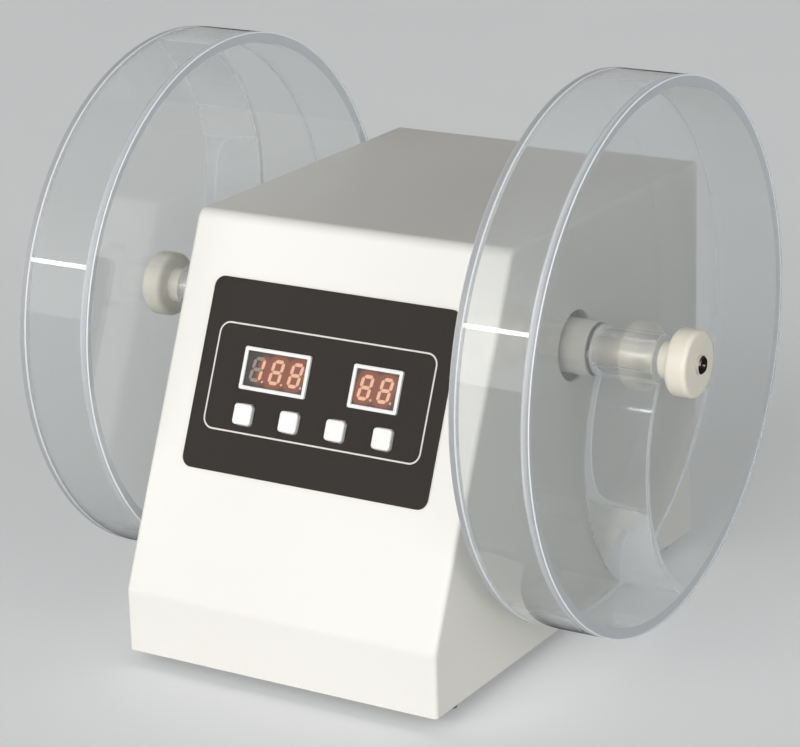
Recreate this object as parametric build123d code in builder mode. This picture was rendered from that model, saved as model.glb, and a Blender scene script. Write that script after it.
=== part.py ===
from build123d import *
from math import acos, atan2, cos, degrees, pi, radians, sin, tan
import os

os.makedirs("parts", exist_ok=True)

# Tablet friability tester: two clear drums on one driven spindle, one each side of a steel housing.
# Millimetres. X runs along the spindle, Y runs from front to back with 0 at the spindle,
# Z runs up from the surface that the rubber feet stand on.

# Housing
housing_w = 193.0
housing_front = -144.0
housing_back = 147.0
housing_h = 226.5
front_h = 35.0
slope_top_y = -60.0
sheet_t = 1.5
bend_r = 7.0
edge_r = 2.5
foot_h = 6.0
foot_r = 11.0
base_t = 2.0
base_inset = 4.0
bottom_flange_w = 10.0
rear_flange_w = 11.0
rear_inset = 2.5
seam_gap = 0.3
foot_in_side = 30.5
foot_in_front = 27.0
foot_in_back = 30.0
foot_taper = 1.5
foot_recess = 3.0
upstand_h = 18.0
base_screw_in = 25.0
base_rear_in = 14.0
rear_screw_up = 45.0
rear_screw_down = 36.5
base_z = foot_h + base_t
top_z = base_z + housing_h
inner_x = housing_w / 2 - sheet_t

# Spindle and its bearings
axis_up = 159.5
axis_z = base_z + axis_up
spindle_hole_r = 19.5
journal_r = 7.5
core_r = 8.5
thread_r = 5.0
shaft_past_knob = 2.5
thread_start_in = 1.0
end_chamfer = 0.8
centre_hole_r = 1.8
centre_hole_deep = 1.6
bearing_outer_r = 17.5
bearing_w = 11.0
ball_r = 3.0
ball_track_r = 12.5
race_gap = 3.4
ball_count = 8
running_gap = 0.05
stand_t = 14.0
stand_lip = 3.0
stand_clear = 9.5
stand_top_r = 27.0
stand_foot_w = 70.0
stand_foot_l = 16.0
stand_foot_t = 8.0
stand_screw_y = 24.0
stand_outer_x = inner_x - stand_clear
stand_inner_x = stand_outer_x - stand_t
bearing_x = stand_outer_x - bearing_w

# Drums
drum_inner_r = 142.5
drum_wall = 6.0
drum_depth = 37.0
disc_t = 4.0
lid_t = 4.0
drum_clear = 13.0
hub_r = 13.5
scoop_r = 95.0
scoop_t = 4.0
scoop_centre_r = 99.0
scoop_angles = {"right": -38.0, "left": 136.0}
scoop_lid_gap = 0.3
acrylic_edge_r = 0.7
drum_outer_r = drum_inner_r + drum_wall
drum_x = housing_w / 2 + drum_clear
ring_x = drum_x + disc_t
lid_x = ring_x + drum_depth
knob_x = lid_x + lid_t

# Knob that clamps each lid
knob_r = 18.3
knob_grip_l = 12.7
knob_boss_r = 10.0
knob_boss_l = 6.8
knob_front_r = 2.5
knob_back_r = 3.0
knob_l = knob_boss_l + knob_grip_l
shaft_end_x = knob_x + knob_l + shaft_past_knob

# Collar that turns each drum
collar_r = 15.0
collar_clear = 2.5
pin_r = 2.0
pin_track_r = 11.0
pin_reach = 3.5
pin_depth = 8.0
pin_gap = 0.3
grub_r = 2.0
grub_in = 4.0
grub_sunk = 0.8
collar_chamfer = 0.6
collar_x = stand_outer_x + collar_clear

# Drive
module_mm = 2.0
gear_teeth = 40
pinion_teeth = 20
pressure_angle = 20.0
backlash = 0.3
gear_x = 20.0
gear_w = 10.0
gear_boss_r = 14.0
gear_boss_l = 10.0
gear_hole_r = 5.5
gear_hole_count = 6
pinion_overlap = 1.0
pinion_boss_r = 9.0
pinion_boss_l = 6.0
pinion_angle = -53.13
motor_r = 30.0
motor_l = 48.0
gearbox_l = 26.0
gearbox_boss_r = 10.0
gearbox_boss_l = 4.0
motor_shaft_r = 4.0
motor_plate_t = 3.0
motor_plate_gap = 2.0
motor_plate_side = 6.0
motor_plate_over = 5.0
motor_foot_l = 56.0
motor_screw_in = 8.0
gearbox_round = 1.5
can_step = 1.0
can_round = 3.0
ear_in = 4.0
ear_screw_deep = 6.0
ear_screw_end = 2.0
flat_head_ratio = 1.7
flat_head_h = 1.2
gear_pitch_r = module_mm * gear_teeth / 2
pinion_pitch_r = module_mm * pinion_teeth / 2
centre_distance = gear_pitch_r + pinion_pitch_r
pinion_y = centre_distance * cos(radians(pinion_angle))
pinion_z = axis_z + centre_distance * sin(radians(pinion_angle))
plate_x = gear_x - motor_plate_gap

# Turn counter
counter_clear = 19.5
counter_r = 32.0
counter_t = 1.5
counter_hub_r = 12.0
counter_hub_l = 8.0
counter_slot_w = 2.5
counter_slot_l = 7.0
sensor_l = 12.5
sensor_w = 10.0
sensor_slot = 4.0
sensor_bite = 4.0
sensor_floor = 4.0
sensor_foot = 8.0
bracket_t = 2.0
bracket_side = 1.0
bracket_tab = 16.0
counter_x = stand_inner_x - counter_clear

# Control panel, measured on the sloping face: x across, up from the front fold
panel_w = 152.0
panel_h = 104.0
panel_up = 123.0
panel_t = 1.0
panel_r = 6.0
display_over = 5.2
display_h = 23.2
count_x = -27.8
count_w = 41.4
timer_x = 34.3
timer_w = 30.0
bezel_border = 2.2
bezel_rise = 1.5
bezel_corner_r = 1.2
window_t = 1.6
module_deep = 9.0
slot_gap = 0.4
key_count = 4
key_pitch = 28.8
key_shift = 0.75
key_under = 19.6
key_size = 11.3
key_rise = 2.4
key_travel = 1.0
key_flange = 1.5
key_flange_t = 1.2
key_stem_r = 1.6
stem_gap = 0.3
key_corner_r = 2.0
key_edge_r = 0.8
board_t = 1.6
board_w = 136.0
board_h = 66.0
board_under = 5.0
spacer_r = 3.0
spacer_in = 5.0
switch_size = 8.0
switch_h = 4.0
displays = {"count": (count_x, count_w), "timer": (timer_x, timer_w)}
display_up = panel_up + display_over
key_up = panel_up - key_under
board_up = panel_up - board_under
key_xs = [key_shift + key_pitch * (k - (key_count - 1) / 2) for k in range(key_count)]

# Rear panel fittings
inlet_in = 40.0
inlet_up = 45.0
inlet_w = 28.0
inlet_h = 36.0
inlet_flange = 3.0
inlet_flange_t = 1.8
inlet_corner_r = 2.0
inlet_deep = 26.0
recess_w = 24.0
recess_h = 16.5
recess_deep = 19.0
recess_drop = 7.0
recess_corner = 3.5
inlet_pin_l = 12.5
inlet_pin_w = 2.0
inlet_pin_h = 4.0
inlet_pin_side = 7.0
inlet_pin_low = 1.5
inlet_pin_high = 2.5
drawer_w = 24.0
drawer_h = 9.0
drawer_deep = 16.0
drawer_rise = 11.0
drawer_gap = 0.4
drawer_front = 3.0
drawer_floor = 2.0
fuse_r = 2.5
fuse_l = 20.0
fuse_play = 1.0
switch_over = 18.5
switch_w = 15.0
switch_tall = 21.0
switch_deep = 18.0
switch_flange = 2.0
switch_corner_r = 1.5
switch_end = 1.3
rocker_tilt = 10.0
rocker_w = 10.4
rocker_half_h = 7.8
rocker_pivot_in = 4.0
rocker_rise = 0.8
rocker_dish = 1.5
rocker_back = 2.5
rocker_room = 7.0
stub_r = 1.2
stub_l = 1.2
stub_gap = 0.1
inlet_x = inner_x - inlet_in
inlet_z = base_z + inlet_up
switch_z = inlet_z + inlet_h / 2 + inlet_flange + switch_over + switch_flange + switch_tall / 2

# Boards and transformer
control_board_w = 124.0
control_board_l = 66.0
control_board_in = 48.0
standoff_h = 9.0
strip_w = 40.0
strip_l = 12.0
relay_w = 19.0
relay_l = 15.0
capacitor_r = 8.0
board_part_h = 12.0
strip_x = -38.0
relay_x = 10.0
capacitor_x = 42.0
board_part_back = 19.0
core_w = 54.0
core_l = 20.0
core_h = 45.0
core_leg_w = 18.0
core_window_w = 9.0
core_window_h = 27.0
coil_l = 34.0
coil_slack = 0.3
strap_clear = 1.5
transformer_in = 47.0
strap_t = 1.0
strap_w = 12.0
strap_foot = 13.0
control_board_y = housing_front + control_board_in
transformer_x = strap_clear + strap_foot + core_w / 2 + bottom_flange_w - housing_w / 2
transformer_y = housing_back - transformer_in

# Screws
m3_r = 1.5
m4_r = 2.0
head_ratio = 1.85
head_rise_ratio = 1.3
cross_ratio = 0.45
screw_past = 2.0
hair = 0.1

sides = {"right": 1, "left": -1}
slope_run = slope_top_y - housing_front
slope_rise = housing_h - front_h
slope_angle = atan2(slope_rise, slope_run)
slope_origin = (0, housing_front, base_z + front_h)
slope_normal = (0, -sin(slope_angle), cos(slope_angle))
slope_face = Plane(origin=slope_origin, x_dir=(1, 0, 0), z_dir=slope_normal)


def finish(builder, name):
    """Label a finished piece and write its file."""
    builder.part.label = name
    export_step(builder.part, "parts/" + name + ".step")


def facing_back(y, x=0.0, z=0.0):
    """A plane across the object at depth y that looks to the rear: its x runs to -X, its y up."""
    return Plane(origin=(x, y, z), x_dir=(-1, 0, 0), z_dir=(0, 1, 0))


def on_axis(x, turn=0.0, y=0.0, z=axis_z, side=1):
    """A plane square to the spindle that looks outwards on that side, with its y up when turn is 0."""
    a = radians(turn)
    return Plane(origin=(x * side, y, z), x_dir=(0, side * cos(a), side * sin(a)), z_dir=(side, 0, 0))


ON_PLANE = (Align.CENTER, Align.CENTER, Align.MIN)
UNDER_PLANE = (Align.CENTER, Align.CENTER, Align.MAX)


def disc(plane, radius, length, hole=0.0):
    """A round plate, bar or ring that stands on a plane."""
    with Locations(plane):
        Cylinder(radius, length, align=ON_PLANE)
        if hole > 0:
            Cylinder(hole, length, align=ON_PLANE, mode=Mode.SUBTRACT)


def bore(plane, radius, length):
    """A round hole from a plane backwards."""
    with Locations(plane):
        Cylinder(radius, length, align=UNDER_PLANE, mode=Mode.SUBTRACT)


def screw(plane, radius, length):
    """A pan head screw: its head stands on the plane with a cross recess, its shank runs below."""
    head_h = radius * head_rise_ratio
    cross = radius * cross_ratio
    disc(plane, radius * head_ratio, head_h)
    with Locations(plane):
        Cylinder(radius, length, align=UNDER_PLANE)
    with Locations(plane.offset(head_h)):
        Box(2 * radius, cross, head_h / 2, align=UNDER_PLANE, mode=Mode.SUBTRACT)
        Box(cross, 2 * radius, head_h / 2, align=UNDER_PLANE, mode=Mode.SUBTRACT)


def side_outline(grow=0.0):
    """The corners of the housing seen from its side, in Y and Z, its open ends pushed out by grow."""
    return [
        (housing_front, base_z - grow),
        (housing_front, base_z + front_h),
        (slope_top_y, top_z),
        (housing_back + grow, top_z),
        (housing_back + grow, base_z - grow),
    ]


def folds():
    """The two folds across the front of the housing."""
    across = edges().filter_by(Axis.X)
    low = across.filter_by(lambda e: abs(e.center().Z - base_z - front_h) < front_h / 2)
    high = across.filter_by(lambda e: e.center().Z > base_z + front_h * 1.5)
    return low.sort_by(Axis.Y)[:1] + high.sort_by(Axis.Y)[:1]


def side_edges():
    """The edges along both sides, but not those of the open bottom and back."""
    across = edges().filter_by(lambda e: abs(e.center().X) > inner_x - edge_r)
    found = across.filter_by(lambda e: e.bounding_box().size.X < edge_r / 10)
    rear = edges().sort_by(Axis.Y)[-1].center().Y
    low = edges().sort_by(Axis.Z)[0].center().Z
    return found.filter_by(lambda e: e.center().Y < rear - edge_r and e.center().Z > low + edge_r)


# Housing shell: one folded and welded steel sheet, open below and behind
half_w = housing_w / 2
housing_l = housing_back - housing_front
open_end = 20.0
key_hole = key_size + 2 * slot_gap
window_h = display_h - 2 * bezel_border
display_room = 2 * (slot_gap - bezel_border)
with BuildPart() as shell_cavity:
    with BuildSketch(Plane.YZ.offset(-inner_x)):
        with BuildLine():
            Polyline(*side_outline(grow=open_end), close=True)
        make_face()
        offset(amount=-sheet_t, kind=Kind.INTERSECTION)
    extrude(amount=2 * inner_x)
    fillet(folds(), bend_r - sheet_t)
    fillet(side_edges(), edge_r - sheet_t)

bottom_flange_in = half_w - bottom_flange_w
rear_face_y = housing_back - rear_inset
rear_flange_y = rear_face_y - sheet_t
flange_screw_x = half_w - sheet_t - (bottom_flange_w - sheet_t) / 2
middle_y = (housing_front + housing_back) / 2
base_screw_ys = (housing_front + base_screw_in, middle_y, housing_back - base_screw_in)
rear_screw_zs = (base_z + rear_screw_up, top_z - rear_screw_down)
rear_flange_in = inner_x - rear_flange_w
rear_screw_x = inner_x - rear_flange_w / 2

with BuildPart() as housing_shell:
    with BuildSketch(Plane.YZ.offset(-half_w)):
        with BuildLine():
            Polyline(*side_outline(), close=True)
        make_face()
    extrude(amount=housing_w)
    fillet(folds(), bend_r)
    fillet(side_edges(), edge_r)
    add(shell_cavity.part, mode=Mode.SUBTRACT)
    # return flanges below, at both sides and in front
    with BuildSketch(Plane.XY.offset(base_z)):
        with Locations((0, (housing_front + rear_flange_y - sheet_t) / 2)):
            Rectangle(2 * inner_x, rear_flange_y - sheet_t - housing_front - 2 * sheet_t)
        with Locations((0, (housing_front + bottom_flange_w + housing_back) / 2)):
            Rectangle(2 * bottom_flange_in, housing_l - bottom_flange_w, mode=Mode.SUBTRACT)
    extrude(amount=sheet_t)
    # return flanges behind, at both sides and on top
    with BuildSketch(facing_back(rear_flange_y)):
        with Locations((0, (base_z + top_z) / 2)):
            Rectangle(2 * inner_x + sheet_t, housing_h - sheet_t)
        with Locations((0, (base_z + top_z) / 2 - rear_flange_w)):
            Rectangle(2 * rear_flange_in, housing_h, mode=Mode.SUBTRACT)
    extrude(amount=-sheet_t)
    # round holes for the spindle
    with BuildSketch(on_axis(-housing_w)):
        Circle(spindle_hole_r)
    extrude(amount=2 * housing_w, mode=Mode.SUBTRACT)
    # cut-outs behind the control panel
    with BuildSketch(slope_face.offset(sheet_t)):
        for middle, width in displays.values():
            with Locations((middle, display_up)):
                Rectangle(width + display_room, display_h + display_room)
        for x in key_xs:
            with Locations((x, key_up)):
                Rectangle(key_hole, key_hole)
    extrude(amount=-4 * sheet_t, mode=Mode.SUBTRACT)
    for x in (-flange_screw_x, flange_screw_x):
        for y in base_screw_ys:
            bore(Plane(origin=(x, y, base_z + 2 * sheet_t)), m3_r, 3 * sheet_t)
    for x in (-rear_screw_x, rear_screw_x):
        for z in rear_screw_zs:
            bore(facing_back(rear_face_y, x, z), m3_r, 3 * sheet_t)
finish(housing_shell, "housing_shell")

# Base plate: it carries everything inside, and its rear edge is turned up behind the rear panel
base_half_w = half_w - base_inset
base_front = housing_front + base_inset
foot_x = half_w - foot_in_side
foot_ys = (housing_front + foot_in_front, housing_back - foot_in_back)
foot_places = [(x, y) for x in (-foot_x, foot_x) for y in foot_ys]
base_rear_x = rear_flange_in - base_rear_in
base_rear_xs = (-base_rear_x, base_rear_x)
base_rear_z = base_z + upstand_h / 2
stand_screw_x = stand_outer_x - stand_t - stand_foot_l / 2
motor_plate_w = 2 * (motor_r + motor_plate_side)
motor_screw_xs = (plate_x - motor_foot_l + motor_screw_in, plate_x - motor_plate_t - motor_screw_in)
motor_screw_reach = motor_plate_w / 2 - motor_screw_in
strap_screw_x = (core_w + strap_t + strap_foot) / 2

# where the screws of the stands, the motor bracket and the strap go, each with the thickness it holds
frame_screw_places = []
for side in sides.values():
    for y in (-stand_screw_y, stand_screw_y):
        frame_screw_places.append((side * stand_screw_x, y, stand_foot_t))
    for x in motor_screw_xs:
        frame_screw_places.append((x, pinion_y + side * motor_screw_reach, motor_plate_t))
    frame_screw_places.append((transformer_x + side * strap_screw_x, transformer_y, strap_t))

with BuildPart() as base_plate:
    with BuildSketch(Plane.XY.offset(foot_h)):
        with Locations((0, (base_front + rear_flange_y) / 2)):
            RectangleRounded(2 * base_half_w, rear_flange_y - base_front, base_inset)
    extrude(amount=base_t)
    with BuildSketch(facing_back(rear_flange_y, 0, base_z + upstand_h / 2)):
        Rectangle(2 * (rear_flange_in - base_inset), upstand_h)
    extrude(amount=-sheet_t)
    for x, y in foot_places:
        bore(Plane(origin=(x, y, base_z)), m4_r, base_t)
    for x in (-flange_screw_x, flange_screw_x):
        for y in base_screw_ys:
            bore(Plane(origin=(x, y, base_z)), m3_r, base_t)
    for x in base_rear_xs:
        bore(facing_back(rear_face_y, x, base_rear_z), m3_r, 3 * sheet_t)
    for x, y, _ in frame_screw_places:
        bore(Plane(origin=(x, y, base_z)), m4_r, base_t)
finish(base_plate, "base_plate")

# Rear panel, held in the back of the shell, with its cut-outs for the inlet and the switch
panel_top = top_z - sheet_t - seam_gap
with BuildPart() as rear_panel:
    with BuildSketch(facing_back(rear_flange_y)):
        with Locations((0, (base_z + panel_top) / 2)):
            Rectangle(2 * (inner_x - seam_gap), panel_top - base_z)
        with Locations((-inlet_x, inlet_z)):
            Rectangle(inlet_w, inlet_h, mode=Mode.SUBTRACT)
        with Locations((-inlet_x, switch_z)):
            Rectangle(switch_w, switch_tall, mode=Mode.SUBTRACT)
        for x in (-rear_screw_x, rear_screw_x):
            for z in rear_screw_zs:
                with Locations((x, z)):
                    Circle(m3_r, mode=Mode.SUBTRACT)
        for x in base_rear_xs:
            with Locations((x, base_rear_z)):
                Circle(m3_r, mode=Mode.SUBTRACT)
    extrude(amount=sheet_t)
finish(rear_panel, "rear_panel")

# Small screws that hold the rear panel and the base plate to the shell
with BuildPart() as casing_screws:
    for x in (-rear_screw_x, rear_screw_x):
        for z in rear_screw_zs:
            screw(facing_back(rear_face_y, x, z), m3_r, 2 * sheet_t + screw_past)
    for x in base_rear_xs:
        screw(facing_back(rear_face_y, x, base_rear_z), m3_r, 2 * sheet_t + screw_past)
    for x in (-flange_screw_x, flange_screw_x):
        for y in base_screw_ys:
            under = Plane(origin=(x, y, foot_h), x_dir=(1, 0, 0), z_dir=(0, 0, -1))
            screw(under, m3_r, base_t + sheet_t + screw_past)
finish(casing_screws, "casing_screws")

# Rubber feet, each with a screw sunk in it
with BuildPart() as rubber_feet:
    for x, y in foot_places:
        floor = Plane(origin=(x, y, 0))
        with BuildSketch(floor):
            Circle(foot_r - foot_taper)
        with BuildSketch(floor.offset(foot_h)):
            Circle(foot_r)
        loft()
        with BuildSketch(floor):
            Circle(m4_r * head_ratio + slot_gap)
        extrude(amount=foot_recess, mode=Mode.SUBTRACT)
        with BuildSketch(floor):
            Circle(m4_r)
        extrude(amount=foot_h, mode=Mode.SUBTRACT)
finish(rubber_feet, "rubber_feet")

with BuildPart() as foot_screws:
    for x, y in foot_places:
        under = Plane(origin=(x, y, foot_recess), x_dir=(1, 0, 0), z_dir=(0, 0, -1))
        screw(under, m4_r, foot_h + base_t - foot_recess + screw_past)
finish(foot_screws, "foot_screws")

# Bearing stands: upright plates on the base, each with a seat for a ball bearing
for name, side in sides.items():
    with BuildPart() as bearing_stand:
        with BuildSketch(on_axis(stand_outer_x, side=side)):
            Circle(stand_top_r)
            with BuildLine():
                Polyline(
                    (-stand_foot_w / 2, base_z - axis_z),
                    (-stand_top_r, 0),
                    (stand_top_r, 0),
                    (stand_foot_w / 2, base_z - axis_z),
                    close=True,
                )
            make_face()
        extrude(amount=-stand_t)
        with BuildSketch(Plane(origin=(side * stand_screw_x, 0, base_z))):
            Rectangle(stand_foot_l, stand_foot_w)
        extrude(amount=stand_foot_t)
        bore(on_axis(stand_outer_x, side=side), bearing_outer_r, bearing_w)
        bore(on_axis(stand_outer_x, side=side), bearing_outer_r - stand_lip, stand_t)
        for y in (-stand_screw_y, stand_screw_y):
            bore(Plane(origin=(side * stand_screw_x, y, base_z + stand_foot_t)), m4_r, stand_foot_t)
    finish(bearing_stand, "bearing_stand_" + name)

# Screws that hold the stands, the motor bracket and the transformer's strap on the base plate
with BuildPart() as frame_screws:
    for x, y, held in frame_screw_places:
        screw(Plane(origin=(x, y, base_z + held)), m4_r, held + base_t)
finish(frame_screws, "frame_screws")


def race(x, inner, outer):
    """One bearing ring: a plain ring with the round track of the balls cut into it."""
    disc(on_axis(x - bearing_w / 2), outer, bearing_w, hole=inner)
    with Locations(on_axis(x)):
        Torus(ball_track_r, ball_r + running_gap, mode=Mode.SUBTRACT)


# Ball bearings: outer rings in the stands, inner rings on the spindle, balls between them
bearing_middles = [side * (bearing_x + bearing_w / 2) for side in sides.values()]
with BuildPart() as bearing_outer_rings:
    for x in bearing_middles:
        race(x, ball_track_r + race_gap / 2, bearing_outer_r)
finish(bearing_outer_rings, "bearing_outer_rings")

with BuildPart() as bearing_inner_rings:
    for x in bearing_middles:
        race(x, journal_r, ball_track_r - race_gap / 2)
finish(bearing_inner_rings, "bearing_inner_rings")

with BuildPart() as bearing_balls:
    for x in bearing_middles:
        with Locations(on_axis(x)):
            with PolarLocations(ball_track_r, ball_count):
                Sphere(ball_r)
finish(bearing_balls, "bearing_balls")

# Spindle: a stepped steel shaft, thick between the bearings, threaded where the knobs go
shoulder_x = knob_x - thread_start_in
with BuildPart() as spindle_shaft:
    disc(on_axis(-bearing_x), core_r, 2 * bearing_x)
    for side in sides.values():
        disc(on_axis(bearing_x, side=side), journal_r, shoulder_x - bearing_x)
        disc(on_axis(shoulder_x, side=side), thread_r, shaft_end_x - shoulder_x)
    ends = edges().filter_by(lambda e: abs(e.center().X) > shaft_end_x - hair)
    chamfer(ends, end_chamfer)
    for side in sides.values():
        with Locations(on_axis(shaft_end_x, side=side)):
            Cone(hair, centre_hole_r, centre_hole_deep, align=UNDER_PLANE, mode=Mode.SUBTRACT)
finish(spindle_shaft, "spindle_shaft")

# Drive collars: each is pinned to the spindle and turns its drum with two pins
for name, side in sides.items():
    with BuildPart() as drive_collar:
        disc(on_axis(collar_x, side=side), collar_r, drum_x - collar_x, hole=journal_r)
        rims = edges().filter_by(GeomType.CIRCLE).filter_by(lambda e: e.radius > collar_r - hair)
        chamfer(rims, collar_chamfer)
        for turn in (0, 180):
            with BuildSketch(on_axis(drum_x, turn, side=side)):
                with Locations((pin_track_r, 0)):
                    Circle(pin_r)
            extrude(amount=-pin_depth, mode=Mode.SUBTRACT)
        bore(Plane(origin=(side * (collar_x + grub_in), 0, axis_z + collar_r)), grub_r, collar_r - journal_r)
    finish(drive_collar, "drive_collar_" + name)

with BuildPart() as drive_pins:
    for side in sides.values():
        for turn in (0, 180):
            with BuildSketch(on_axis(drum_x - pin_depth, turn, side=side)):
                with Locations((pin_track_r, 0)):
                    Circle(pin_r)
            extrude(amount=pin_depth + pin_reach)
finish(drive_pins, "drive_pins")


def gear_solid(plane, teeth, turn, width):
    """A spur gear: involute flanks on each tooth, arcs over the tips and along the roots."""
    pitch_r = module_mm * teeth / 2
    base_r = pitch_r * cos(radians(pressure_angle))
    tip_r = pitch_r + module_mm
    root_r = pitch_r - 1.25 * module_mm
    start_r = max(base_r, root_r)
    rolled = tan(radians(pressure_angle)) - radians(pressure_angle)
    half_tooth = pi / (2 * teeth) - backlash / (4 * pitch_r)

    def flank(r, way, middle):
        roll = acos(min(1.0, base_r / r))
        angle = middle + way * (half_tooth + rolled - (tan(roll) - roll))
        return (r * cos(angle), r * sin(angle))

    def at(r, angle):
        return (r * cos(angle), r * sin(angle))

    radii = [start_r + (tip_r - start_r) * k / 3 for k in range(4)]
    foot = half_tooth + rolled - (tan(acos(base_r / start_r)) - acos(base_r / start_r))
    with BuildPart() as gear:
        with BuildSketch(plane):
            with BuildLine():
                for k in range(teeth):
                    middle = radians(turn) + 2 * pi * k / teeth
                    valley = middle + pi / teeth
                    rise = [flank(r, -1, middle) for r in radii]
                    fall = [flank(r, 1, middle) for r in reversed(radii)]
                    low = at(root_r, middle + foot)
                    next_low = at(root_r, valley + pi / teeth - foot)
                    Spline(rise)
                    ThreePointArc(rise[-1], at(tip_r, middle), fall[0])
                    Spline(fall)
                    if start_r > root_r:
                        Line(fall[-1], low)
                        Line(next_low, flank(start_r, -1, valley + pi / teeth))
                    ThreePointArc(low, at(root_r, valley), next_low)
            make_face()
        extrude(amount=width)
    return gear.part


# Drive gear on the spindle
boss_middle = gear_x + gear_w + gear_boss_l / 2
gear_hole_track = (gear_boss_r + gear_pitch_r - module_mm * 1.25) / 2
with BuildPart() as drive_gear:
    add(gear_solid(on_axis(gear_x), gear_teeth, pinion_angle, gear_w))
    with BuildSketch(on_axis(gear_x)):
        Circle(core_r)
        with PolarLocations(gear_hole_track, gear_hole_count):
            Circle(gear_hole_r)
    extrude(amount=gear_w, mode=Mode.SUBTRACT)
    disc(on_axis(gear_x + gear_w), gear_boss_r, gear_boss_l, hole=core_r)
    bore(Plane(origin=(boss_middle, 0, axis_z + gear_boss_r)), grub_r, gear_boss_r - core_r)
finish(drive_gear, "drive_gear")

with BuildPart() as grub_screws:
    places = [(side * (collar_x + grub_in), journal_r, collar_r) for side in sides.values()]
    places.append((boss_middle, core_r, gear_boss_r))
    for x, low, high in places:
        disc(Plane(origin=(x, 0, axis_z + low)), grub_r, high - low - grub_sunk)
finish(grub_screws, "grub_screws")

# Motor pinion and the gearbox's output shaft, which turn together
pinion_w = gear_w + 2 * pinion_overlap
pinion_x = gear_x - pinion_overlap
with BuildPart() as motor_pinion:
    pinion_turn = pinion_angle + 180 + 180 / pinion_teeth
    add(gear_solid(on_axis(pinion_x, y=pinion_y, z=pinion_z), pinion_teeth, pinion_turn, pinion_w))
    pinion_end = on_axis(pinion_x + pinion_w, y=pinion_y, z=pinion_z)
    bore(pinion_end, motor_shaft_r, pinion_w)
    disc(pinion_end, pinion_boss_r, pinion_boss_l, hole=motor_shaft_r)
finish(motor_pinion, "motor_pinion")

plate_in = plate_x - motor_plate_t
with BuildPart() as motor_shaft:
    shaft_in = plate_in - gearbox_l / 2
    shaft_out = pinion_x + pinion_w + pinion_boss_l
    disc(on_axis(shaft_in, y=pinion_y, z=pinion_z), motor_shaft_r, shaft_out - shaft_in)
finish(motor_shaft, "motor_shaft")

# Gearbox and motor, hung on an upright plate
ear_r = motor_r - ear_in
with BuildPart() as gearbox_case:
    disc(on_axis(plate_in - gearbox_l, y=pinion_y, z=pinion_z), motor_r, gearbox_l)
    fillet(edges().group_by(Axis.X)[0], gearbox_round)
    bore(on_axis(plate_in, y=pinion_y, z=pinion_z), motor_shaft_r + running_gap, gearbox_l / 2)
    with BuildSketch(on_axis(plate_in, y=pinion_y, z=pinion_z)):
        with PolarLocations(ear_r, 4, start_angle=45):
            Circle(m4_r)
    extrude(amount=-(ear_screw_deep + ear_screw_end), mode=Mode.SUBTRACT)
finish(gearbox_case, "gearbox_case")

with BuildPart() as motor_can:
    disc(on_axis(plate_in - gearbox_l - motor_l, y=pinion_y, z=pinion_z), motor_r - can_step, motor_l)
    fillet(edges().group_by(Axis.X)[0], can_round)
finish(motor_can, "motor_can")

motor_plate_top = pinion_z + motor_r + motor_plate_over
with BuildPart() as motor_bracket:
    with BuildSketch(on_axis(plate_in)):
        with Locations((pinion_y, (base_z + motor_plate_top) / 2 - axis_z)):
            Rectangle(motor_plate_w, motor_plate_top - base_z)
        with Locations((pinion_y, pinion_z - axis_z)):
            Circle(gearbox_boss_r, mode=Mode.SUBTRACT)
            with PolarLocations(ear_r, 4, start_angle=45):
                Circle(m4_r, mode=Mode.SUBTRACT)
    extrude(amount=motor_plate_t)
    with BuildSketch(Plane.XY.offset(base_z)):
        with Locations((plate_x - motor_foot_l / 2, pinion_y)):
            Rectangle(motor_foot_l, motor_plate_w)
    extrude(amount=motor_plate_t)
    for x in motor_screw_xs:
        for y in (pinion_y - motor_screw_reach, pinion_y + motor_screw_reach):
            bore(Plane(origin=(x, y, base_z + motor_plate_t)), m4_r, motor_plate_t)
finish(motor_bracket, "motor_bracket")

with BuildPart() as gearbox_screws:
    for k in range(4):
        a = radians(45 + 90 * k)
        place = on_axis(plate_x, y=pinion_y + ear_r * cos(a), z=pinion_z + ear_r * sin(a))
        disc(place, m4_r * flat_head_ratio, flat_head_h)
        with Locations(place):
            Cylinder(m4_r, motor_plate_t + ear_screw_deep, align=UNDER_PLANE)
finish(gearbox_screws, "gearbox_screws")

# Turn counter: a slotted disc on the spindle that passes through a fork-shaped light sensor
with BuildPart() as counter_disc:
    disc(on_axis(counter_x), counter_r, counter_t, hole=core_r)
    disc(on_axis(counter_x + counter_t), counter_hub_r, counter_hub_l, hole=core_r)
    with BuildSketch(on_axis(counter_x)):
        with Locations((0, -counter_r)):
            Rectangle(counter_slot_w, 2 * counter_slot_l)
    extrude(amount=counter_t, mode=Mode.SUBTRACT)
finish(counter_disc, "counter_disc")

sensor_middle = counter_x + counter_t / 2
sensor_top = axis_z - counter_r + sensor_bite
sensor_low = axis_z - counter_r - sensor_floor - sensor_foot
with BuildPart() as light_sensor:
    with BuildSketch(Plane(origin=(sensor_middle, 0, sensor_low))):
        Rectangle(sensor_l, sensor_w)
    extrude(amount=sensor_top - sensor_low)
    with BuildSketch(Plane(origin=(sensor_middle, 0, sensor_top))):
        Rectangle(sensor_slot, sensor_w)
    extrude(amount=-(sensor_bite + sensor_floor), mode=Mode.SUBTRACT)
finish(light_sensor, "light_sensor")

bracket_w = sensor_w + 2 * bracket_side
with BuildPart() as sensor_bracket:
    shelf_in = sensor_middle - sensor_l / 2
    with BuildSketch(Plane.XY.offset(sensor_low - bracket_t)):
        with Locations(((shelf_in + stand_inner_x) / 2, 0)):
            Rectangle(stand_inner_x - shelf_in, bracket_w)
    extrude(amount=bracket_t)
    with BuildSketch(on_axis(stand_inner_x - bracket_t)):
        with Locations((0, sensor_low - bracket_tab / 2 - axis_z)):
            Rectangle(bracket_w, bracket_tab)
    extrude(amount=bracket_t)
finish(sensor_bracket, "sensor_bracket")

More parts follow.
